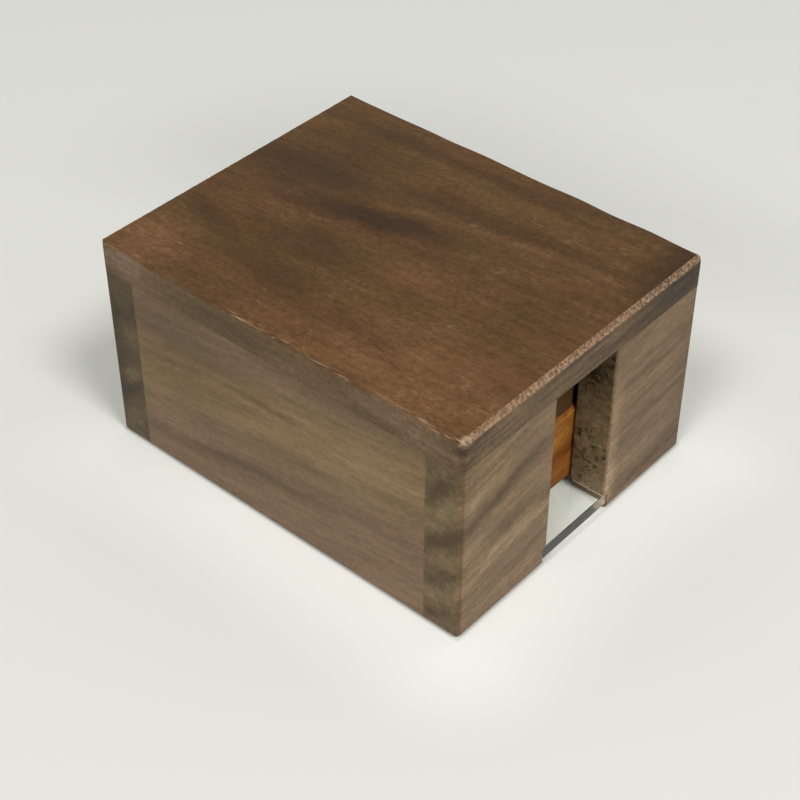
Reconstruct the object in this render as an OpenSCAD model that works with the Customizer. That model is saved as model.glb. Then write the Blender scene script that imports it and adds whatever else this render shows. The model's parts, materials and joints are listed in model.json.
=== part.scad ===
// Packing puzzle with a restricted opening. A walnut case has one open slot in
// its front and a clear sheet for a base, and five loose pieces, glued up from
// bevelled wooden cubes, are passed through the slot and shuffled into place.
// The origin is the middle of the base, the slot faces -Y and +Z is up.

/* [Cubes] */
// Edge length of one wooden cube
unit = 19.2; // [14:0.1:26]
// Width of the bevel on each edge of a cube
cube_bevel = 0.7; // [0.2:0.1:1.5]

/* [Case] */
// Thickness of the four walls
wall = 8.8; // [6:0.1:14]
// Thickness of the lid board
lid_t = 7.2; // [4:0.1:12]
// Chamfer on the outer edges of the case
edge_chamfer = 1; // [0.3:0.1:2]
// Chamfer on the upright edges of the slot
slot_chamfer = 0.4; // [0.1:0.1:0.8]

/* [Base sheet] */
// Thickness of the clear sheet
sheet_t = 3; // [2:0.1:5]
// Height of the sheet above the surface that the case stands on
sheet_lift = 1.5; // [0.5:0.1:3]
// Width of the step under the side and back walls that the sheet is glued into
sheet_lap = 3; // [2:0.1:5]
// How far the sheet's tongue reaches into each side of the slot
tongue_lap = 1.2; // [0.6:0.1:3]
// How far the tongue's end stays behind the front of the case
tongue_set = 0.3; // [0:0.1:1]
// Clearance round the edge of the sheet
sheet_gap = 0.1; // [0.05:0.05:0.4]

/* [Clearances] */
// Between the slot and each side of the pieces that pass through it
slot_gap = 0.15; // [0.1:0.05:0.6]
// Between two neighbouring pieces
piece_gap = 0.3; // [0.1:0.05:0.8]
// Between the side walls and the pieces
side_gap = 0.2; // [0.1:0.05:0.8]
// Between the front wall and the front domino
front_gap = 0.5; // [0.2:0.1:2]
// Between the front domino and the pieces behind it
row_gap = 0.9; // [0.3:0.1:2]
// Between the front wall and the long bar, which is drawn forward
bar_gap = 0.5; // [0.1:0.05:0.8]
// Between the back wall and the last row of cubes
back_gap = 0.2; // [0.1:0.05:0.8]
// Between the clear sheet and the pieces one cube high that stand on it
base_gap = 0.1; // [0.05:0.05:0.4]
// Between the clear sheet and the pieces two cubes high
tall_gap = 0.3; // [0.2:0.05:0.8]
// Between the lid and the long bar
top_gap = 0.7; // [0.3:0.1:2]
// How far the front domino stands from the left end of its run
domino_play = 2.3; // [0:0.1:5]

/* [Hidden] */
// The cavity is three cubes wide, four deep and two high
columns = 3;
rows = 4;
layers = 2;

cavity_w = columns * unit + 2 * piece_gap + 2 * side_gap;
cavity_d = rows * unit + front_gap + row_gap + back_gap;
cavity_h = layers * unit + base_gap + piece_gap + top_gap;

case_w = cavity_w + 2 * wall;
case_d = cavity_d + 2 * wall;
floor_z = sheet_lift + sheet_t;
lid_z = floor_z + cavity_h;
case_h = lid_z + lid_t;

slot_w = unit + 2 * slot_gap;
notch_w = slot_w + 2 * tongue_lap;

// Where the first cube of a piece can stand
mid_x = -unit / 2;
left_x = mid_x - piece_gap - unit;
right_x = mid_x + unit + piece_gap;
bar_y = -cavity_d / 2 + bar_gap;
front_y = -cavity_d / 2 + front_gap;
third_y = cavity_d / 2 - back_gap - 2 * unit;
second_y = third_y - unit;
low_z = floor_z + base_gap;
tall_z = floor_z + tall_gap;
high_z = low_z + unit + piece_gap;

// Overshoot that lets a cut pass cleanly through a face
over = 1;

walnut = "#7A6450";
dark_walnut = "#6B4B35";
orange_wood = "#9A5A24";

// Each loose piece: its name, its wood, the low corner of its first cube, and
// its cubes as whole steps of one cube from that corner along X, Y and Z
PIECES = [
    ["long_bar", walnut, [mid_x, bar_y, high_z],
        [for (row = [0 : rows - 1]) [0, row, 0]]],
    ["front_domino", orange_wood, [left_x + domino_play, front_y, low_z],
        [[0, 0, 0], [1, 0, 0]]],
    ["back_domino", orange_wood, [mid_x, second_y, low_z],
        [[0, 0, 0], [0, 1, 0]]],
    ["tee", orange_wood, [left_x, second_y, tall_z],
        [[0, 0, 0], [0, -1, 1], [0, 0, 1], [0, 1, 1]]],
    ["zed", walnut, [right_x, third_y, tall_z],
        [[0, 0, 0], [0, 1, 0], [0, -1, 1], [0, 0, 1]]]
];

function cube_name(piece, i) = str(piece[0], "_", i + 1);

// A centred rectangle with its four corners cut off at 45 degrees
module chamfered_rectangle(x, y, chamfer) {
    polygon([
        [chamfer - x / 2, -y / 2], [x / 2 - chamfer, -y / 2],
        [x / 2, chamfer - y / 2], [x / 2, y / 2 - chamfer],
        [x / 2 - chamfer, y / 2], [chamfer - x / 2, y / 2],
        [-x / 2, y / 2 - chamfer], [-x / 2, chamfer - y / 2]
    ]);
}

// A block standing on Z = 0, centred in X and Y, with all twelve edges chamfered
module chamfered_block(size, chamfer) {
    intersection() {
        linear_extrude(size[2])
            chamfered_rectangle(size[0], size[1], chamfer);
        translate([0, size[1] / 2, size[2] / 2])
            rotate([90, 0, 0])
                linear_extrude(size[1])
                    chamfered_rectangle(size[0], size[2], chamfer);
        translate([-size[0] / 2, 0, size[2] / 2])
            rotate([90, 0, 90])
                linear_extrude(size[0])
                    chamfered_rectangle(size[1], size[2], chamfer);
    }
}

// The part of the case's chamfered outer form between two corners
module board(low, high) {
    intersection() {
        chamfered_block([case_w, case_d, case_h], edge_chamfer);
        translate(low) cube(high - low);
    }
}

// Plan of the clear sheet, grown by a clearance. It reaches under the side and
// back walls and stops at the front wall, where only its tongue goes on, to
// front_end.
module sheet_plan(clearance, front_end) {
    sheet_w = cavity_w + 2 * sheet_lap + 2 * clearance;
    tongue_w = notch_w + 2 * clearance;
    front = sheet_gap - clearance - cavity_d / 2;
    back = cavity_d / 2 + sheet_lap + clearance;
    translate([-sheet_w / 2, front]) square([sheet_w, back - front]);
    translate([-tongue_w / 2, front_end]) square([tongue_w, -front_end]);
}

// The step cut into the underside of the walls for the sheet
module sheet_step() {
    translate([0, 0, -over])
        linear_extrude(floor_z + over)
            sheet_plan(sheet_gap, -case_d / 2 - over);
}

// The slot through the front wall, with its outer edges chamfered
module slot() {
    outer_w = slot_w + 2 * slot_chamfer;
    front = -case_d / 2;
    translate([0, 0, -over])
        linear_extrude(lid_z + 2 * over)
            polygon([
                [-outer_w / 2, front - over], [outer_w / 2, front - over],
                [outer_w / 2, front], [slot_w / 2, front + slot_chamfer],
                [slot_w / 2, front + wall + over], [-slot_w / 2, front + wall + over],
                [-slot_w / 2, front + slot_chamfer], [-outer_w / 2, front]
            ]);
}

module lid() {
    color(dark_walnut)
        board([-case_w / 2, -case_d / 2, lid_z], [case_w / 2, case_d / 2, case_h]);
}

// The front wall is one board cut in two by the slot
module front_half(x_low, x_high) {
    color(walnut)
        difference() {
            board([x_low, -case_d / 2, 0], [x_high, -cavity_d / 2, lid_z]);
            slot();
            sheet_step();
        }
}

module front_left() {
    front_half(-case_w / 2, 0);
}

module front_right() {
    front_half(0, case_w / 2);
}

module back_wall() {
    color(walnut)
        difference() {
            board([-case_w / 2, cavity_d / 2, 0], [case_w / 2, case_d / 2, lid_z]);
            sheet_step();
        }
}

// The side walls are held between the front and back walls
module side_wall(x_low, x_high) {
    color(walnut)
        difference() {
            board([x_low, -cavity_d / 2, 0], [x_high, cavity_d / 2, lid_z]);
            sheet_step();
        }
}

module left_wall() {
    side_wall(-case_w / 2, -cavity_w / 2);
}

module right_wall() {
    side_wall(cavity_w / 2, case_w / 2);
}

module base_sheet() {
    color("#B9C4C4", 0.5)
        translate([0, 0, sheet_lift])
            linear_extrude(sheet_t)
                sheet_plan(0, -case_d / 2 + tongue_set);
}

// One cube of a loose piece, glued face to face to the piece's other cubes
module piece_cube(piece, i) {
    middle = [unit / 2, unit / 2, 0];
    color(piece[1])
        translate(piece[2] + unit * piece[3][i] + middle)
            chamfered_block([unit, unit, unit], cube_bevel);
}

lid();
front_left();
front_right();
back_wall();
left_wall();
right_wall();
base_sheet();
for (piece = PIECES)
    for (i = [0 : len(piece[3]) - 1])
        piece_cube(piece, i);
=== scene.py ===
"""Looks of a walnut packing puzzle: a glued case with one open slot, a clear acrylic
base, and five loose pieces glued up from bevelled cubes. Everything is in metres, in
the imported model's frame, with the slot facing -Y; lengths below are in millimetres."""

import json
import math

import bmesh
import bpy
import numpy as np
from mathutils import Matrix, Vector


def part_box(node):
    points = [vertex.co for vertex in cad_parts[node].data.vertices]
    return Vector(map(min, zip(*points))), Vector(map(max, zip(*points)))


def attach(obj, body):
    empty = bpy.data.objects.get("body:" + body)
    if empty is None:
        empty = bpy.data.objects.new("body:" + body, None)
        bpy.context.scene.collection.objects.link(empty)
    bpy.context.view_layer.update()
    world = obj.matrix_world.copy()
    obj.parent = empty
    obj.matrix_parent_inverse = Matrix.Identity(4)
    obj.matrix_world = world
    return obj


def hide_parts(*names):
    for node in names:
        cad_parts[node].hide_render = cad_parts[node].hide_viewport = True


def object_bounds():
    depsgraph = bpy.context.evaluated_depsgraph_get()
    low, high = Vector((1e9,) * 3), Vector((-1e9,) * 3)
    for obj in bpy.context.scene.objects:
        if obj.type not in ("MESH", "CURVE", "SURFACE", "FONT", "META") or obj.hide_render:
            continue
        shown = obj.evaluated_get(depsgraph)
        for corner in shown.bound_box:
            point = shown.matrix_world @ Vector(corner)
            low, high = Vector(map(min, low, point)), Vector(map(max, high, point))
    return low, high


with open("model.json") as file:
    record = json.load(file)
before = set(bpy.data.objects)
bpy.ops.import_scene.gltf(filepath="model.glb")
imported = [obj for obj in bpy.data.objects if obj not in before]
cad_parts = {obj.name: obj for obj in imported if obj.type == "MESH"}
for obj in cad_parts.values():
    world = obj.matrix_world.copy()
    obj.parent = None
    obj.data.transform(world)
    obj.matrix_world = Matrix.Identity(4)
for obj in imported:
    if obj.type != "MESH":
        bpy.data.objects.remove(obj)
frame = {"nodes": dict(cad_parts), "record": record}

cad_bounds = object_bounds()
nodes = frame["nodes"]
MM = 0.001
SAME = 1e-6  # points nearer than this, in metres, are one point


def corners(node):
    """Lowest and highest corner of a CAD node, in millimetres."""
    return [np.array(corner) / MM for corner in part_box(node)]


case_high = np.array(cad_bounds[1]) / MM
lid_low, lid_high = corners("lid")
cavity_back = corners("left_wall")[1][1]
slot_right = corners("front_right")[0][0]
tongue_lap = 1.2  # how far the clear sheet's tongue reaches into the slot's sides
sheet_gap = 0.1  # clearance round the clear sheet


# ---------------------------------------------------------------- materials

def linear(colour):
    """sRGB hex colour to linear RGBA."""
    channels = [int(colour[i:i + 2], 16) / 255 for i in (1, 3, 5)]
    return [c / 12.92 if c <= 0.04045 else ((c + 0.055) / 1.055) ** 2.4
            for c in channels] + [1.0]


def add(tree, kind, inputs=None, **settings):
    """Add a node, set its properties, then link or set its inputs by name or number."""
    node = tree.nodes.new("ShaderNode" + kind)
    for name, value in settings.items():
        setattr(node, name, value)
    for name, value in (inputs or {}).items():
        if isinstance(value, bpy.types.NodeSocket):
            tree.links.new(value, node.inputs[name])
        else:
            node.inputs[name].default_value = value
    return node


def new_material(name):
    material = bpy.data.materials.new(name)
    material.use_nodes = True
    material.node_tree.nodes.clear()
    return material, material.node_tree


def solid_wood(name, bands, ring, fibre, *, drift=3.0, wander=(70.0, 14.0), figure=(),
               streak=0.1, fine=0.1, fleck=0.2, blotch=0.12, blotch_size=(22, 3.5),
               pores=0.3, red="#7A4A2C", red_share=0.2, scuffs=0.0, flank=None,
               end="#C8BEB0", end_share=0.9, pits=0.2, sawn=0.0, worn="#9A8268",
               worn_share=0.3, upright=0.15, knocks=(), warmth=1.2, rough=0.52,
               own_grain=False, seed=0.0):
    """Wood as a solid block of growth rings that the faces cut through.

    A point's place across the rings is the dot product of its place with ring, plus a
    slow noise of drift millimetres that is stretched along the fibre. bands turns that
    place into colour. Fibres and pores are noises stretched along the fibre, so they
    are lines on a face that runs with it and dots on one that cuts across it. figure
    lists the board's larger light and dark places: each is a soft ellipsoid with a
    middle, half sizes along its own axes in millimetres, its turns in degrees about X,
    Y and Z, and how much lighter or darker the wood is there. The higher warmth is, the
    less blue is left in the dark wood and the more in the light.

    streak, fine, fleck and blotch say how far each noise lightens and darkens the wood.
    red_share, pores, pits, scuffs and worn_share are the strengths of the reddish
    clouds, the pores, the saw's pits, the scuffs and the rub on the eased edges, of
    which upright ones get the share upright. flank is the colour of a flat-sawn board's
    sides, and end is what the colour is multiplied by where a face cuts across the
    fibre. Ends that lie less than sawn millimetres from X = 0 were left as the saw cut
    them. knocks lists the middle, the reach in millimetres, the strength and the colour
    of places with a knock. With own_grain, the block's place and fibre come from the
    piece's own attributes.
    """
    material, tree = new_material(name)
    place = add(tree, "TexCoord")
    if own_grain:
        block = add(tree, "Attribute", attribute_name="grain").outputs["Vector"]
        fibre_way = add(tree, "Attribute", attribute_name="fibre").outputs["Vector"]
    else:
        fibre = Vector(fibre).normalized()
        side = fibre.orthogonal().normalized()
        turn = Matrix((fibre, side, fibre.cross(side))).to_euler()
        block = add(tree, "Mapping", {"Vector": place.outputs["Object"],
                                      "Rotation": turn, "Scale": (1 / MM,) * 3,
                                      "Location": (seed, seed * 1.7, -seed)}
                    ).outputs["Vector"]
        fibre_way = tuple(fibre)

    def grain(length, width, detail=2.0, roughness=0.5, distortion=0.0):
        """Noise whose cells are length along the fibre and width across it."""
        cells = (1 / length, 1 / width, 1 / width)
        stretched = add(tree, "VectorMath", {0: block, 1: cells}, operation="MULTIPLY")
        return add(tree, "TexNoise", {"Vector": stretched.outputs[0], "Scale": 1.0,
                                      "Detail": detail, "Roughness": roughness,
                                      "Distortion": distortion}).outputs["Fac"]

    def ramp(value, low, high, to_low=0.0, to_high=1.0):
        return add(tree, "MapRange", {"Value": value, "From Min": low, "From Max": high,
                                      "To Min": to_low, "To Max": to_high}).outputs[0]

    def blend(share, first, second, mode="MIX"):
        return add(tree, "Mix", {0: share, 6: first, 7: second}, data_type="RGBA",
                   blend_type=mode).outputs[2]

    def calc(operation, first, second=0.0):
        return add(tree, "Math", {0: first, 1: second}, operation=operation).outputs[0]

    # Growth rings
    if own_grain:
        across = add(tree, "SeparateXYZ", {0: block}).outputs["Y"]
    else:
        scaled = add(tree, "VectorMath", {0: place.outputs["Object"],
                                          1: [r / MM for r in ring[:3]]},
                     operation="DOT_PRODUCT").outputs["Value"]
        across = calc("ADD", scaled, ring[3])
    slow = ramp(grain(*wander, detail=3.0, distortion=0.4), 0.3, 0.7, -drift, drift)
    across = calc("ADD", across, slow)
    low, high = bands[0][0], bands[-1][0]
    rings = add(tree, "ValToRGB", {0: ramp(across, low, high)})
    stops = rings.color_ramp
    stops.interpolation = "EASE"
    while len(stops.elements) < len(bands):
        stops.elements.new(0.5)
    for stop, (at, colour) in zip(stops.elements, bands):
        stop.position = (at - low) / (high - low)
        stop.color = linear(colour)
    colour = rings.outputs["Color"]

    # Reddish clouds, then streaks, fibres, blotches and flecks that are lighter or
    # darker than the ring they are in. Fibres are far finer than 0.4 mm, and are drawn
    # that coarse so that they show.
    clouds = ramp(grain(26.0, 9.0, 4.0, 0.6, 0.6), 0.42, 0.68, 0.0, red_share)
    colour = blend(clouds, colour, linear(red))
    broad = ramp(grain(45.0, 1.6, 3.0, 0.6), 0.3, 0.7, 1 - streak, 1 + streak)
    thin = ramp(grain(10.0, 0.42, 3.0, 0.65), 0.3, 0.7, 1 - fine, 1 + fine)
    both = calc("MULTIPLY", broad, thin)
    both = calc("MULTIPLY", both,
                ramp(grain(*blotch_size, 3.0, 0.6), 0.3, 0.7, 1 - blotch, 1 + blotch))
    short = ramp(grain(1.3, 1.0, 3.0, 0.75), 0.3, 0.7, 1 - fleck, 1 + fleck)
    both = calc("MULTIPLY", both, short)

    # Larger light and dark places, with edges that wander by a few millimetres
    shift = 5.0
    object_mm = add(tree, "VectorMath", {0: place.outputs["Object"], 3: 1 / MM},
                    operation="SCALE").outputs[0]
    if figure:
        bend = add(tree, "TexNoise", {"Vector": object_mm, "Scale": 0.11, "Detail": 4.0,
                                      "Roughness": 0.6}).outputs["Color"]
        point = add(tree, "VectorMath", {0: bend, 1: (shift,) * 3, 2: object_mm},
                    operation="MULTIPLY_ADD").outputs[0]
        point = add(tree, "VectorMath", {0: point, 1: (shift / 2,) * 3},
                    operation="SUBTRACT").outputs[0]
    for middle, half_sizes, turns, change in figure:
        local = add(tree, "Mapping", {"Vector": point, "Location": middle,
                                      "Rotation": [math.radians(t) for t in turns],
                                      "Scale": half_sizes}, vector_type="TEXTURE")
        away = add(tree, "VectorMath", {0: local.outputs[0]}, operation="LENGTH")
        lit = add(tree, "MapRange", {"Value": away.outputs["Value"], "From Min": 1.2,
                                     "From Max": 0.1, "To Min": 1.0, "To Max": 1 + change},
                  interpolation_type="SMOOTHSTEP")
        both = calc("MULTIPLY", both, lit.outputs[0])

    # Dark wood is also warmer, and light wood greyer
    green = calc("MINIMUM", calc("POWER", both, 1.08),
                 calc("POWER", both, 0.96 + 0.1 * warmth))
    shade = add(tree, "CombineColor", {0: both, 1: green,
                                       2: calc("POWER", both, warmth)}).outputs[0]
    colour = blend(1.0, colour, shade, "MULTIPLY")

    # How far the face cuts across the fibre, and how far it is an eased edge
    normal = place.outputs["Normal"]
    facing = add(tree, "VectorMath", {0: normal, 1: fibre_way}, operation="DOT_PRODUCT")
    facing = calc("ABSOLUTE", facing.outputs["Value"])
    cut = ramp(facing, 0.55, 0.9)
    sizes = add(tree, "SeparateXYZ", {0: add(tree, "VectorMath", {0: normal},
                                             operation="ABSOLUTE").outputs[0]})
    flat = calc("MAXIMUM", calc("MAXIMUM", sizes.outputs[0], sizes.outputs[1]),
                sizes.outputs[2])
    edge = ramp(flat, 0.97, 0.80)

    # End grain is darker and greyer, and speckled by the open ends of the pores. The
    # sides of a flat-sawn board show its rings as lines that lie nearly level.
    colour = blend(calc("MULTIPLY", cut, end_share), colour, linear(end), "MULTIPLY")
    if flank:
        flat_rings = add(tree, "VectorMath", {0: object_mm, 1: (0.07, 0.07, 0.8)},
                         operation="MULTIPLY").outputs[0]
        flat_rings = add(tree, "TexNoise", {"Vector": flat_rings, "Scale": 1.0,
                                            "Detail": 3.0, "Distortion": 0.3}
                         ).outputs["Fac"]
        lines = ramp(flat_rings, 0.35, 0.65, 0.54, 1.46)
        lines = add(tree, "CombineColor", {0: lines, 1: lines, 2: lines}).outputs[0]
        grey = blend(0.6, linear(flank), shade, "MULTIPLY")
        grey = blend(ramp(cut, 0.0, 1.0, 0.35, 1.0), grey, lines, "MULTIPLY")
        colour = blend(ramp(sizes.outputs[2], 0.9, 0.5, 0.0, 0.8), colour, grey)
    if scuffs:
        scuff = calc("MULTIPLY", ramp(grain(2.2, 1.6, 4.0, 0.7), 0.5, 0.70),
                     ramp(grain(18.0, 14.0, 3.0), 0.46, 0.60, 0.15))
        scuff = calc("MULTIPLY", scuff, ramp(both, 0.85, 1.3, 0.1, 1.0))
        colour = blend(calc("MULTIPLY", scuff, scuffs), colour, linear(worn))

    # Pits torn by the saw, only on end grain: small where it was sanded afterwards,
    # and curled and deep where it was not
    pit = ramp(grain(1.6, 1.1, 3.0, 0.7), 0.52, 0.68, 0.0, pits)
    if sawn:
        inside = calc("ABSOLUTE", add(tree, "SeparateXYZ", {0: object_mm}).outputs["X"])
        inside = ramp(inside, sawn + 1, sawn)
        torn = ramp(grain(4.4, 2.8, 4.0, 0.75, 1.6), 0.48, 0.58, 0.0, 0.95)
        torn = calc("MULTIPLY", torn, ramp(grain(9.0, 7.0, 2.0), 0.42, 0.58, 0.3))
        pit = calc("MAXIMUM", pit, calc("MULTIPLY", inside, torn))
        rough_sawn = calc("MULTIPLY", calc("MULTIPLY", inside, cut), 0.66)
        colour = blend(rough_sawn, colour, linear("#E4E9EC"), "MULTIPLY")
    colour = blend(calc("MULTIPLY", cut, pit), colour, linear("#2A2016"))

    # Pores: short dark dashes. Walnut's are 0.1 to 0.2 mm wide, and are drawn a third
    # of a millimetre wide so that they show.
    pore = ramp(grain(4.5, 0.34, 2.0, 0.6), 0.56, 0.70)
    colour = blend(calc("MULTIPLY", pore, pores), colour, linear("#2A1C12"))

    # Eased edges are painted darker, a painted shade that holds down the light they catch,
    # but where they are rubbed they are lighter: specks where the edge cuts across the
    # fibre, and a few thin splinters where it runs with the fibre
    colour = blend(edge, colour, linear("#E2DCD4"), "MULTIPLY")
    specks = ramp(grain(0.6, 0.6, 3.0, 0.7), 0.38, 0.60, 0.12)
    splinters = calc("MULTIPLY", ramp(grain(5.0, 0.25, 2.0, 0.6), 0.52, 0.66, 0.0, 0.9),
                     ramp(grain(14.0, 9.0), 0.40, 0.54, 0.15))
    across_fibre = ramp(facing, 0.25, 0.5)
    rubbed = calc("MULTIPLY", across_fibre, specks)
    rubbed = calc("MAXIMUM", rubbed, calc("MULTIPLY", calc("SUBTRACT", 1.0, across_fibre),
                                          splinters))
    lying = ramp(sizes.outputs[2], 0.2, 0.5, upright)
    if sawn:
        lying = calc("MAXIMUM", lying, inside)
    rubbed = calc("MULTIPLY", calc("MULTIPLY", calc("MULTIPLY", edge, rubbed), lying),
                  worn_share)
    colour = blend(rubbed, colour, linear(worn))
    for middle, reach, strength, knock_colour in knocks:
        away = add(tree, "VectorMath", {0: object_mm, 1: middle}, operation="DISTANCE")
        ragged = ramp(grain(2.5, 2.0), 0.3, 0.7, 0.5, 1.6)
        away = calc("MULTIPLY", away.outputs["Value"], ragged)
        knock = calc("MULTIPLY", ramp(away, reach, 0.5 * reach, 0.0, strength),
                     ramp(grain(0.8, 0.8, 3.0, 0.7), 0.36, 0.56, 0.25))
        colour = blend(knock, colour, linear(knock_colour))

    relief = calc("SUBTRACT", calc("MULTIPLY", thin, 0.5), pore)
    bump = add(tree, "Bump", {"Height": relief, "Strength": 0.25, "Distance": 0.0001})
    sheen = ramp(grain(12.0, 0.8, 3.0), 0.3, 0.7, rough - 0.06, rough + 0.08)
    surface = add(tree, "BsdfPrincipled", {
        "Base Color": colour, "Roughness": sheen, "IOR": 1.5,
        "Specular IOR Level": 0.25,
        "Normal": bump.outputs["Normal"]})
    add(tree, "OutputMaterial", {"Surface": surface.outputs["BSDF"]})
    return material


# Black walnut, flat-sawn and sanded, with an oil finish: warm red-brown, mottled, with
# slow wandering bands and a low satin sheen.
lid_walnut = solid_wood(
    "Oiled black walnut, flat-sawn lid",
    bands=[(-53, "#5E3F1C"), (-40, "#60411E"), (-30, "#573A1A"), (-18, "#5A3E1B"),
           (-8, "#583B1A"), (2, "#56391A"), (8, "#5C3F1D"), (16, "#513718"),
           (24, "#5A3D1C"), (30, "#5D411E"), (34, "#4F3517"), (40, "#5C3E1D"),
           (53, "#543819")],
    ring=(1, 0.12, 0, 0), fibre=(-0.06, 1, 0), drift=3.0, wander=(60.0, 18.0),
    figure=[((4.6, 9, 51), (5.2, 26, 12), (0, 0, 16), -0.70),
            ((8, 34, 51), (12, 26, 12), (0, 0, 5), -0.44),
            ((25, 28, 51), (9, 20, 12), (0, 0, 0), -0.26),
            ((19, -8, 51), (4.5, 32, 12), (0, 0, 5), -0.26),
            ((31.5, -12, 51), (2.2, 48, 12), (0, 0, 1), -0.28),
            ((17.4, -25, 51), (1.8, 32, 12), (0, 0, 8.6), 0.50),
            ((10.5, 7, 51), (1.8, 11, 12), (0, 0, 28), 0.36),
            ((-12, 14, 51), (9, 20, 12), (0, 0, 0), -0.34),
            ((-23, 15, 51), (5.5, 24, 12), (0, 0, -6), -0.34),
            ((-16, 39, 51), (4.0, 16, 12), (0, 0, -19), -0.34),
            ((-25, -36, 51), (14, 30, 12), (0, 0, 0), 0.34),
            ((-34, -14, 51), (7, 32, 12), (0, 0, 0), 0.20),
            ((-32, 41, 51), (10, 12, 12), (0, 0, 0), 0.62),
            ((-25, -27, 51), (5, 7, 12), (0, 0, 0), 0.24),
            ((-6, -10, 51), (7, 14, 12), (0, 0, 20), 0.26),
            ((-38, 40, 48.5), (2, 17, 5), (0, 0, 0), 0.40),
            ((-38, -34, 51), (1.4, 16, 1.4), (0, 0, 0), 0.45),
            ((-38, -34, 47.5), (3, 16, 4), (0, 0, 0), 0.50),
            ((-38, 14, 46.5), (3, 18, 4), (0, 0, 0), -0.30),
            ((28, -48, 47), (18, 9, 9), (0, 0, 0), -0.95)],
    streak=0.1, fine=0.08, fleck=0.3, blotch=0.15, blotch_size=(12, 4), pores=0.35,
    red="#66381C", red_share=0.15, scuffs=0.18, flank="#645036", end="#E2DECF", pits=0.12,
    worn="#BA987A", worn_share=0.75, upright=0.1, warmth=1.8,
    knocks=[((-36.9, -47.5, 50.9), 1.7, 0.7, "#C6AA8A"),
            ((-37.3, -47.7, 48.8), 1.9, 0.9, "#3A2C1C")],
    seed=3.0)

# Black walnut, sanded flush with the rest of the case: grey-brown, with soft tilted
# streaks along the fibre.
side_walnut = solid_wood(
    "Oiled black walnut, side boards",
    bands=[(0, "#7A634B"), (9, "#7C654C"), (14, "#776048"), (21, "#7B6449"),
           (27, "#7F6747"), (34, "#806848"), (40, "#786148"), (56, "#705A42")],
    ring=(0.6, 0.14, 1, 22.8), fibre=(0, -1, 0.14), drift=1.5,
    figure=[((0, 27, 36), (99, 24, 16), (0, 0, 0), -0.30),
            ((0, 1, 32.4), (99, 13, 1.9), (-2, 0, 0), -0.46),
            ((0, -24, 31), (99, 29, 9), (-8, 0, 0), 0.28),
            ((0, -14, 17.5), (99, 18, 3.4), (-8, 0, 0), 0.20),
            ((0, 4, 25), (99, 19, 4.5), (-6, 0, 0), 0.28),
            ((0, 25, 13.5), (99, 20, 4.5), (-7, 0, 0), 0.20),
            ((0, 3, 12.6), (99, 46, 1.9), (-8.5, 0, 0), -0.32),
            ((0, -26, 20), (99, 20, 7), (-8, 0, 0), 0.16),
            ((0, -30, 4), (99, 20, 6), (0, 0, 0), 0.20),
            ((0, -34, 13), (99, 18, 18), (0, 0, 0), 0.07),
            ((0, 0, 21.6), (99, 42, 1.8), (-8.5, 0, 0), -0.16),
            ((0, -18, 18.6), (99, 26, 1.8), (-8.5, 0, 0), -0.16),
            ((0, 22, 8), (99, 24, 1.5), (-6, 0, 0), -0.16),
            # The last mark darkens a band along the top of the board, under the lid
            ((0, -18, 44), (99, 44, 2.8), (0, 0, 0), -0.24)],
    streak=0.12, fleck=0.15, red="#7E5639", red_share=0.15, worn_share=0.45, seed=11.0)

# Black walnut with steeply standing rings, so that the dark bands of its ends run on
# across its face as streaks.
front_walnut = solid_wood(
    "Oiled black walnut, front board",
    bands=[(-4, "#826A50"), (10, "#80684E"), (21, "#846C50"), (32, "#7C6449"),
           (42, "#836B4E"), (52, "#7E664C"), (60, "#745C44")],
    ring=(-0.2, 1.15, 1, 47.6), fibre=(1, 0, 0.16), drift=1.8, wander=(50.0, 14.0),
    figure=[((-25, -48, 32.0), (22, 12, 2.4), (0, -14, 0), -0.50),
            ((-30, -48, 36.5), (12, 12, 3.4), (0, -12, 0), 0.36),
            ((-25, -48, 16.2), (22, 12, 2.6), (0, -9, 0), 0.66),
            ((-21, -48, 22), (16, 12, 3.2), (0, -10, 0), -0.34),
            ((-34, -48, 21), (9, 12, 6), (0, 0, 0), 0.22),
            ((-18, -48, 9), (16, 12, 2.4), (0, -8, 0), -0.18),
            ((-25, -48, 4), (20, 12, 3.5), (0, 0, 0), 0.16),
            ((24, -48, 35.8), (18, 12, 1.3), (0, -2, 0), -0.22),
            ((20, -48, 32.4), (16, 12, 1.4), (0, 0, 0), -0.28),
            ((22, -48, 26), (16, 12, 3.4), (0, -2, 0), -0.12),
            ((23, -48, 20.5), (19, 12, 1.8), (0, 0, 0), -0.22),
            ((25, -48, 15), (20, 12, 3.6), (0, 0, 0), -0.30),
            ((28, -48, 4.5), (18, 12, 6.0), (0, 0, 0), -0.38),
            ((37, -48, 24), (8, 12, 30), (0, 0, 0), -0.24),
            ((-38, -43, 37.0), (9, 9, 2.8), (-48, 0, 0), -0.50),
            ((-38, -43.4, 30.2), (9, 9, 3.4), (-50, 0, 0), 0.50),
            ((-38, -43.4, 24.2), (9, 9, 2.7), (-42, 0, 0), -0.46),
            ((-38, -43.4, 18.6), (9, 9, 2.0), (-32, 0, 0), 0.10),
            ((-38, -43, 14.2), (9, 8, 3.4), (-30, 0, 0), -0.46),
            ((-38, -43.4, 10), (9, 9, 2.0), (-33, 0, 0), 0.24),
            ((-38, -43, 3.8), (9, 8, 2.8), (-20, 0, 0), -0.40),
            # The last two marks lighten the slot's cheek: the first partly as the paler
            # wood of its sawn end and partly as painted light from the floor and the front
            # lamp, the second as painted light along its foot
            ((10, -43.5, 14), (5, 8, 24), (0, 0, 0), 1.05),
            ((10, -44, 5), (3, 8, 3.4), (0, 0, 0), 0.60)],
    streak=0.2, fine=0.12, fleck=0.2, blotch=0.18, red="#7E5639", red_share=0.15,
    end="#D8DED2", pits=0.12, sawn=11.5, worn_share=0.45, seed=23.0)

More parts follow.
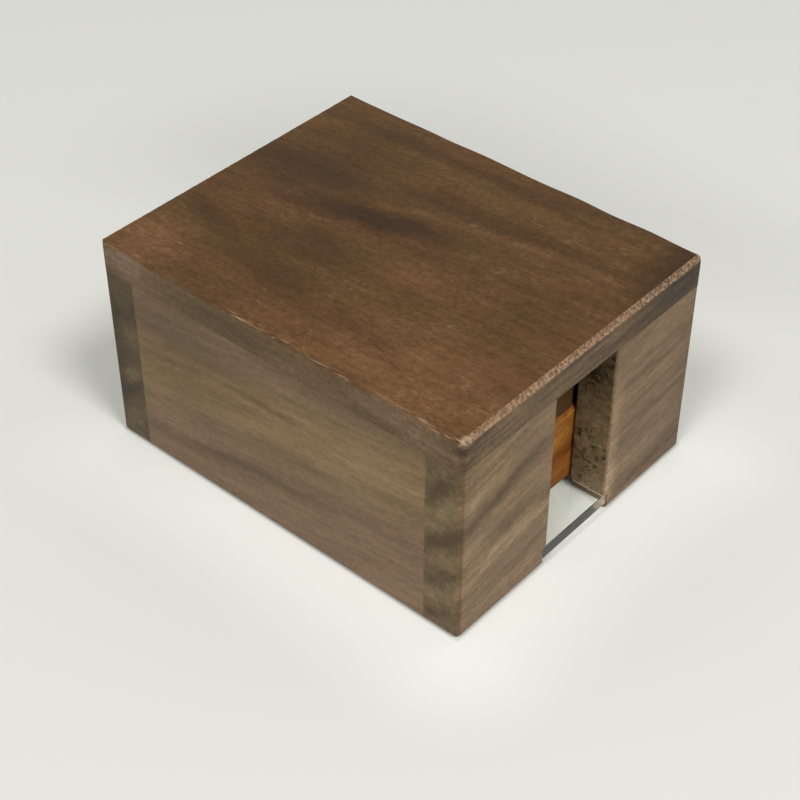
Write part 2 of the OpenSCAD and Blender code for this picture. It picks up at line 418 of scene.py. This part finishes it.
# The same walnut, from a darker board.
back_walnut = solid_wood(
    "Oiled black walnut, back board",
    bands=[(-10, "#746047"), (4, "#7C674D"), (14, "#6F5B43"), (22, "#78634A"),
           (29, "#6C5841"), (38, "#766148"), (46, "#6E5A42"), (60, "#7A654B")],
    ring=(0.05, -1.1, 1, 52.8), fibre=(1, 0, 0.05), drift=2.4, wander=(45.0, 12.0),
    figure=[((-38, 46.5, 24), (9, 3.5, 30), (0, 0, 0), -0.34),
            ((-38, 42, 19), (9, 6, 2.6), (-40, 0, 0), 0.56),
            ((-38, 42, 7), (9, 6, 2.6), (-40, 0, 0), 0.36),
            ((-38, 43, 13.5), (9, 7, 2.2), (-40, 0, 0), -0.45),
            ((-38, 43, 28), (9, 7, 2.5), (-35, 0, 0), 0.26),
            ((-38, 43, 35), (9, 7, 4), (-30, 0, 0), -0.36),
            ((4, 48, 30), (26, 6, 2.6), (0, -4, 0), -0.30),
            ((-6, 48, 12), (28, 6, 3.2), (0, -3, 0), 0.24),
            ((18, 48, 19), (20, 6, 1.8), (0, -5, 0), -0.26),
            ((-14, 48, 37), (20, 6, 3.0), (0, -4, 0), 0.20)],
    streak=0.16, fleck=0.18, red="#7E5639", red_share=0.15, end="#BCC0AF", pits=0.15,
    worn_share=0.4, seed=31.0)

# Black walnut cubes, sanded and oiled, their colour also darkened as painted shade for the
# shadow in the slot where they show.
cube_walnut = solid_wood(
    "Oiled black walnut, cubes",
    bands=[(-16, "#583C1E"), (-9, "#482F16"), (-4, "#5C3F20"), (2, "#4C3319"),
           (7, "#5E4222"), (12, "#462D15"), (18, "#573A1C")],
    ring=None, fibre=None, own_grain=True, drift=1.5, wander=(50.0, 10.0), upright=1.0)

# Padauk cubes, sanded and oiled: bright orange-brown, with darker ribbons and long
# coarse pores.
cube_padauk = solid_wood(
    "Oiled padauk, cubes",
    bands=[(-16, "#945A22"), (-10, "#B87A34"), (-5, "#7C4616"), (-1, "#B4742C"),
           (4, "#84491A"), (9, "#BC8038"), (16, "#824A18")],
    ring=None, fibre=None, own_grain=True, drift=1.5, wander=(50.0, 8.0), streak=0.18,
    fine=0.14, blotch=0.3, blotch_size=(8, 4), pores=0.5, red="#84401A", worn="#B8824A",
    upright=1.0)


def clear_acrylic():
    """Cast acrylic, 3 mm thick, with saw-cut edges: clear, so the floor shows through
    it, with a grey cast where the light runs along the sheet to an edge. Its flat faces
    are tinted light grey, a painted shade that darkens the floor seen through them. Its
    sides sit in adhesive and sawdust, which show through the sheet as a pale brown line,
    coloured paler still as painted light for the reflections along that line."""
    material, tree = new_material("Cast acrylic sheet, clear")
    place = add(tree, "TexCoord")
    lines = add(tree, "Mapping", {"Vector": place.outputs["Object"],
                                  "Scale": (300.0, 300.0, 5000.0)})
    saw = add(tree, "TexNoise", {"Vector": lines.outputs[0], "Scale": 1.0, "Detail": 2.0})
    facing = add(tree, "SeparateXYZ", {0: add(tree, "VectorMath", {
        0: place.outputs["Normal"]}, operation="ABSOLUTE").outputs[0]})
    rough = add(tree, "MapRange", {"Value": facing.outputs["Z"], "From Min": 0.3,
                                   "From Max": 0.9, "To Min": 0.22, "To Max": 0.02})
    bump = add(tree, "Bump", {"Height": saw.outputs["Fac"], "Strength": 0.05,
                              "Distance": 0.0001})
    # The flat faces are tinted light grey: a painted shade on the floor seen through the
    # sheet
    tint_and_painted_shade = add(tree, "Mix", {0: facing.outputs["Y"], 6: linear("#E3E3E1"),
                             7: linear("#E6E2D0")}, data_type="RGBA")
    sheet = add(tree, "BsdfPrincipled", {
        "Base Color": tint_and_painted_shade.outputs[2], "Roughness": rough.outputs[0], "IOR": 1.49,
        "Transmission Weight": 1.0, "Normal": bump.outputs["Normal"]})
    lamp_light = add(tree, "BsdfTransparent", {"Color": linear("#F0F3F2")})
    shadow = add(tree, "LightPath").outputs["Is Shadow Ray"]
    glued = add(tree, "MapRange", {"Value": facing.outputs["X"], "From Min": 0.8,
                                   "From Max": 0.9})
    # The sides' colour is near white: painted light for the pale line that reflections draw
    # along them
    glue_and_painted_light = add(tree, "BsdfPrincipled", {"Base Color": linear("#F4E0CC"), "Roughness": 0.7,
                                        "IOR": 1.5})
    body = add(tree, "MixShader", {0: glued.outputs[0], 1: sheet.outputs[0],
                                   2: glue_and_painted_light.outputs[0]})
    both = add(tree, "MixShader", {0: shadow, 1: body.outputs[0], 2: lamp_light.outputs[0]})
    add(tree, "OutputMaterial", {"Surface": both.outputs[0]})
    return material


acrylic = clear_acrylic()


# ---------------------------------------------------------------- shapes

def build(name, points, faces, material, body, slot, *replaced):
    """Make a piece from points in millimetres and ride it on its body."""
    mesh = bpy.data.meshes.new(name)
    mesh.from_pydata((points * MM).tolist(), [], [list(map(int, f)) for f in faces])
    mesh.materials.append(material)
    piece = bpy.data.objects.new(name, mesh)
    bpy.context.scene.collection.objects.link(piece)
    form = bmesh.new()
    form.from_mesh(mesh)
    bmesh.ops.remove_doubles(form, verts=form.verts, dist=SAME)
    bmesh.ops.recalc_face_normals(form, faces=form.faces)
    form.to_mesh(mesh)
    form.free()
    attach(piece, body)
    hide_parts(*replaced)
    return piece


def rings_to_faces(rings, around):
    """Quads of a grid of rings, each joined to the next and closed on itself."""
    ring, step = np.mgrid[0:rings - 1, 0:around]
    nxt = (step + 1) % around
    return np.stack([ring * around + step, ring * around + nxt,
                     (ring + 1) * around + nxt, (ring + 1) * around + step],
                    axis=-1).reshape(-1, 4)


def smooth_noise(at, period, count, seed):
    """Periodic noise of one parameter: a sum of count cosines, each with a random
    phase and a whole number of waves round the period, fading as they get shorter."""
    draw = np.random.default_rng(seed)
    waves = np.arange(1, count + 1)
    phases = draw.uniform(0, 2 * math.pi, count)
    sizes = draw.uniform(0.5, 1.0, count)
    total = (sizes * np.cos(2 * math.pi * at[:, None] * waves / period + phases)).sum(1)
    return total / math.sqrt((sizes ** 2).sum() / 2)


def lid_shape():
    """The lid. Round the board, u runs along the outline of a rectangle with cut
    corners; down it, v steps from the middle of the top over the eased edge and down
    the side to the middle of the underside. A point is the outline at u, brought
    inside a smaller rectangle and set at a height: over the eased edge the rectangle
    shrinks and the height rises by the shares of a rounded chamfer. The chamfer is
    widest on the front, where the boards' ends were rubbed down together, and its
    width changes with u, by long waves on the sides and by short tears on the ends.
    """
    half_x, half_y = (lid_high[:2] - lid_low[:2]) / 2
    cut = 1.0  # chamfer of the case's upright edges
    spacing = 0.4  # between two points of the outline
    front_width, back_width, side_width = 1.2, 0.7, 0.65  # of the eased edge
    front_drop, other_drop = 0.95, 0.75
    outline = np.array([
        (-half_x + cut, -half_y), (half_x - cut, -half_y), (half_x, -half_y + cut),
        (half_x, half_y - cut), (half_x - cut, half_y), (-half_x + cut, half_y),
        (-half_x, half_y - cut), (-half_x, -half_y + cut)])
    nxt = np.roll(outline, -1, axis=0)
    lengths = np.linalg.norm(nxt - outline, axis=1)
    steps = np.maximum(2, np.round(lengths / spacing)).astype(int)
    edge = np.concatenate([outline[i] + (nxt[i] - outline[i]) *
                           (np.arange(steps[i]) / steps[i])[:, None] for i in range(8)])
    around = len(edge)
    x, y = edge.T
    at = np.arange(around) * spacing
    period = around * spacing
    tears = np.abs(smooth_noise(at, period, 400, 5))
    waves = smooth_noise(at, period, 26, 8)
    ends = np.where(y < 0, front_width, back_width) + 0.05 * tears
    sides = side_width + 0.12 * waves
    drop = np.where(y < -half_y + front_width, front_drop, other_drop) + 0.04 * waves

    # The eased edge: share of its width and share of its drop, from the side up
    ease = np.array([(0.0, 1.0), (0.06, 0.88), (0.25, 0.66), (0.5, 0.42),
                     (0.75, 0.2), (0.9, 0.06), (1.0, 0.0)])
    rings = [np.column_stack([edge, np.full(around, lid_low[2])])]
    for share_in, share_down in ease:
        inner_x = np.sign(x) * np.minimum(np.abs(x), half_x - sides * share_in)
        inner_y = np.sign(y) * np.minimum(np.abs(y), half_y - ends * share_in)
        rings.append(np.column_stack([inner_x, inner_y, lid_high[2] - drop * share_down]))
    faces = list(rings_to_faces(len(rings), around))
    faces += [np.arange(around), np.arange(around) + around * (len(rings) - 1)]
    return np.concatenate(rings), faces


build("lid_board", *lid_shape(), lid_walnut, "case", "lid_walnut", "lid")


def eased_copy(node, material, width=0.18):
    """A copy of a case board, merged and dissolved to its own faces, with a small
    round on each edge that a hand can touch. Glued edges stay sharp and flush."""
    mesh = nodes[node].data.copy()
    mesh.name = node + "_board"
    form = bmesh.new()
    form.from_mesh(mesh)
    bmesh.ops.remove_doubles(form, verts=form.verts, dist=SAME)
    bmesh.ops.dissolve_limit(form, angle_limit=math.radians(1), verts=form.verts,
                             edges=form.edges)
    weight = form.edges.layers.float.new("bevel_weight_edge")
    close = 1e-5
    past_notch = 12 * MM  # the sides of the slot and its notches are nearer than this
    for edge in form.edges:
        ends = np.array([v.co for v in edge.verts])
        under_lid = np.ptp(ends[:, 2]) < SAME and ends[0, 2] > lid_low[2] * MM - close
        at_side_wall = (np.ptp(ends[:, 1]) < SAME
                        and abs(abs(ends[0, 1]) - cavity_back * MM) < close
                        and abs(ends[:, 0]).min() > past_notch)
        sharp = edge.calc_face_angle(0) > math.radians(20)
        if sharp and not under_lid and not at_side_wall:
            edge[weight] = 1.0
    form.to_mesh(mesh)
    form.free()
    mesh.materials.clear()
    mesh.materials.append(material)
    piece = bpy.data.objects.new(node + "_board", mesh)
    bpy.context.scene.collection.objects.link(piece)
    bevel = piece.modifiers.new("eased edges", "BEVEL")
    bevel.limit_method = "WEIGHT"
    bevel.width = width * MM
    bevel.segments = 2
    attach(piece, "case")
    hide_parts(node)
    return piece


for node, material in (("front_left", front_walnut), ("front_right", front_walnut),
                       ("back_wall", back_walnut), ("left_wall", side_walnut),
                       ("right_wall", side_walnut)):
    eased_copy(node, material)


def block_shape(low, high, chamfer=0.7, soft=0.12):
    """A cube with chamfered edges. Round the cube, u runs along a square outline with
    cut corners; up it, v steps over the lower chamfer, the side and the upper chamfer.
    At each step the outline moves inwards by the inset of that height, and its corner
    cut shrinks by twice the inset, so that three chamfers meet at each corner. soft is
    the width of the small facets that round each meeting of two faces."""
    half = (high - low) / 2
    centre = (high + low) / 2
    levels = [(chamfer, 0.0), (chamfer * 0.5, chamfer * 0.5 - soft * 0.2),
              (soft, chamfer - soft * 1.2), (0.0, chamfer + soft * 0.6)]
    rings = []
    levels += [(inset, 2 * half[2] - rise) for inset, rise in levels[::-1]]
    for inset, rise in levels:
        hx, hy = half[0] - inset, half[1] - inset
        cut = max(chamfer - 2 * inset, soft)
        turn = cut * 0.5 - soft * 0.15
        corner = [(hx - cut - soft, hy), (hx - cut + soft * 0.5, hy - soft * 0.3),
                  (hx - turn, hy - cut + turn),
                  (hx - soft * 0.3, hy - cut + soft * 0.5), (hx, hy - cut - soft)]
        corner = np.array(corner)
        ring = np.concatenate([corner, corner[::-1] * (1, -1), corner * (-1, -1),
                               corner[::-1] * (-1, 1)])
        rings.append(np.column_stack([ring + centre[:2],
                                      np.full(len(ring), low[2] + rise)]))
    points = np.concatenate(rings)
    around = len(rings[0])
    faces = list(rings_to_faces(len(rings), around))
    faces.append(np.arange(around))
    faces.append(np.arange(around) + around * (len(rings) - 1))
    return points, faces


def cube(node, body, material, slot, seed):
    """One glued cube, with its own block of wood: grain holds each point's place in
    the block, fibre first, and fibre the way that its fibres run. The block is turned
    a little, and lies anywhere in a long plank."""
    low, high = corners(node)
    piece = build(node + "_cube", *block_shape(low, high), material, body, slot, node)
    mesh = piece.data
    count = len(mesh.vertices)
    place = np.empty(count * 3)
    mesh.vertices.foreach_get("co", place)
    place = place.reshape(-1, 3) / MM - (low + high) / 2
    draw = np.random.default_rng(seed)
    way = np.roll(np.eye(3), draw.integers(0, 3), axis=0)
    tilt = Matrix.Rotation(draw.uniform(-0.1, 0.1), 3, "Z") @ Matrix.Rotation(
        draw.uniform(0.2, 1.3), 3, "X")
    basis = np.array(tilt) @ way
    grain = place @ basis.T + (draw.uniform(-400, 400), draw.uniform(-4, 4),
                               draw.uniform(-400, 400))
    for name, values in (("grain", grain), ("fibre", np.tile(basis[0], (count, 1)))):
        layer = mesh.attributes.new(name, "FLOAT_VECTOR", "POINT")
        layer.data.foreach_set("vector", values.astype(np.float32).ravel())
    return piece


bodies = sorted(frame["record"]["behaviour"]["bodies"].items())
for number, (body, members) in enumerate(bodies):
    if body == "case":
        continue
    dark = body in ("long_bar", "zed")
    for place, node in enumerate(members):
        cube(node, body, cube_walnut if dark else cube_padauk,
             "walnut_cubes" if dark else "orange_wood", 100 * number + place)


def sheet_shape():
    """The acrylic sheet. Its outline, a rectangle with a tongue in the slot, is carried
    up through the thickness, and the tongue's end moves in a little at the two faces,
    where its saw-cut edges were broken."""
    broken = 0.12
    low, high = corners("base_sheet")
    tongue = slot_right + tongue_lap
    side_x, back_y = high[:2]
    step_y = corners("front_left")[1][1] + sheet_gap
    rings = []
    for inset, z in ((broken, low[2]), (0.0, low[2] + broken), (0.0, high[2] - broken),
                     (broken, high[2])):
        end_y = low[1] + inset
        ring = [(-side_x, step_y), (-tongue, step_y), (-tongue, end_y), (tongue, end_y),
                (tongue, step_y), (side_x, step_y), (side_x, back_y), (-side_x, back_y)]
        rings.append(np.column_stack([np.array(ring), np.full(8, z)]))
    faces = list(rings_to_faces(4, 8)) + [np.arange(8), np.arange(8) + 24]
    return np.concatenate(rings), faces


build("clear_base", *sheet_shape(), acrylic, "case", "clear_sheet", "base_sheet")


# ---------------------------------------------------------------- camera, floor, light

camera_data = bpy.data.cameras.new("camera")
camera_data.lens = 79.93  # fitted to the outline of the case
camera_data.sensor_width = 36.0
camera = bpy.data.objects.new("camera", camera_data)
right = Vector((0.65585, -0.75489, 0.00068)).normalized()
forward = Vector((0.57594, 0.49979, -0.64692)).normalized()
upward = right.cross(forward)
view_turn = Matrix((right, upward, -forward)).transposed().to_4x4()
camera_place = Vector((-221.98, -192.71, 259.93)) * MM
camera.matrix_world = Matrix.Translation(camera_place) @ view_turn
bpy.context.scene.collection.objects.link(camera)
bpy.context.scene.camera = camera

# White card, matt, with painted light close to the case on its front left, and a painted
# shadow further off on its back right. beyond is the distance in metres from the foot of
# the case, along grows towards the front left, and behind falls towards the back right.
painted_light_reach = 0.03
side_blend = 0.02
painted_shadow_from, painted_shadow_to = 0.03, 0.115
back_from, back_to = -0.06, -0.1
floor_material, tree = new_material("Matt white card")
place = add(tree, "TexCoord")
spread = add(tree, "VectorMath", {0: place.outputs["Object"]}, operation="ABSOLUTE")
beyond = add(tree, "VectorMath", {0: spread.outputs[0], 1: list(case_high * (MM, MM, 0))},
             operation="SUBTRACT")
beyond = add(tree, "VectorMath", {0: beyond.outputs[0]}, operation="MAXIMUM")
beyond = add(tree, "VectorMath", {0: beyond.outputs[0]}, operation="LENGTH")
outside = add(tree, "MapRange", {"Value": beyond.outputs["Value"], "From Min": 0.0,
                                 "From Max": 0.0005})
# Painted light on the card close to the case, on its front left side
near = add(tree, "MapRange", {"Value": beyond.outputs["Value"], "From Min": painted_light_reach,
                              "From Max": 0.0}, interpolation_type="SMOOTHSTEP")
near = add(tree, "Math", {0: near.outputs[0], 1: outside.outputs[0]}, operation="MULTIPLY")
along = add(tree, "VectorMath", {0: place.outputs["Object"], 1: (-0.7, -0.7, 0)},
            operation="DOT_PRODUCT")
ahead = add(tree, "MapRange", {"Value": along.outputs["Value"], "From Min": -side_blend,
                               "From Max": side_blend})
painted_light = add(tree, "Math", {0: near.outputs[0], 1: ahead.outputs[0]}, operation="MULTIPLY")
card = add(tree, "Mix", {0: painted_light.outputs[0], 6: linear("#E8E8E3"), 7: linear("#FAFAF6")},
           data_type="RGBA")
# Painted shadow on the card further off, on its back right side
far = add(tree, "MapRange", {"Value": beyond.outputs["Value"], "From Min": painted_shadow_to,
                             "From Max": painted_shadow_from}, interpolation_type="SMOOTHSTEP")
behind = add(tree, "VectorMath", {0: place.outputs["Object"], 1: (-0.9, -0.4, 0)},
             operation="DOT_PRODUCT")
behind = add(tree, "MapRange", {"Value": behind.outputs["Value"], "From Min": back_from,
                                "From Max": back_to})
painted_shadow = add(tree, "Math", {0: far.outputs[0], 1: behind.outputs[0]}, operation="MULTIPLY")
card = add(tree, "Mix", {0: painted_shadow.outputs[0], 6: card.outputs[2], 7: linear("#D2D2CD")},
           data_type="RGBA")
surface = add(tree, "BsdfPrincipled", {"Base Color": card.outputs[2], "Roughness": 0.9})
add(tree, "OutputMaterial", {"Surface": surface.outputs[0]})
floor_mesh = bpy.data.meshes.new("floor")
reach = 3.0
floor_mesh.from_pydata([(-reach, -reach, 0), (reach, -reach, 0), (reach, reach, 0),
                        (-reach, reach, 0)], [], [(0, 1, 2, 3)])
floor_mesh.materials.append(floor_material)
floor = bpy.data.objects.new("floor", floor_mesh)
bpy.context.scene.collection.objects.link(floor)


def soft_lamp(name, place, target, size, power, colour):
    lamp = bpy.data.lights.new(name, "AREA")
    lamp.shape = "DISK"
    lamp.size = size
    lamp.energy = power
    lamp.color = linear(colour)[:3]
    holder = bpy.data.objects.new(name, lamp)
    holder.location = place
    aim = Vector(target) - Vector(place)
    holder.rotation_euler = aim.to_track_quat("-Z", "Y").to_euler()
    bpy.context.scene.collection.objects.link(holder)


soft_lamp("front window", (-0.204, -0.823, 1.357), (0, 0, 0), 0.45, 10.7, "#FFFFFC")
soft_lamp("side window", (-0.823, -0.187, 1.357), (0, 0, 0), 0.45, 7.5, "#FFFFFC")

# The room lights the object softly and evenly. What is seen past the floor, straight or
# in gloss or through the sheet, is the pale backdrop.
world = bpy.data.worlds.new("studio")
bpy.context.scene.world = world
world.use_nodes = True
tree = world.node_tree
tree.nodes.clear()
path = add(tree, "LightPath")
seen = add(tree, "Math", {0: path.outputs["Is Camera Ray"],
                          1: path.outputs["Is Glossy Ray"]},
           operation="MAXIMUM").outputs[0]
seen = add(tree, "Math", {0: seen, 1: path.outputs["Is Transmission Ray"]},
           operation="MAXIMUM").outputs[0]
direct = add(tree, "Math", {0: path.outputs["Diffuse Depth"], 1: 0.5},
             operation="LESS_THAN").outputs[0]
seen = add(tree, "Math", {0: seen, 1: direct}, operation="MULTIPLY").outputs[0]
room = add(tree, "Background", {"Color": linear("#F4F6F4"), "Strength": 0.39})
backdrop = add(tree, "Background", {"Color": linear("#DCDDD6"), "Strength": 1.0})
both = add(tree, "MixShader", {0: seen, 1: room.outputs[0], 2: backdrop.outputs[0]})
add(tree, "OutputWorld", {"Surface": both.outputs[0]})

bpy.context.scene.view_settings.view_transform = "Standard"
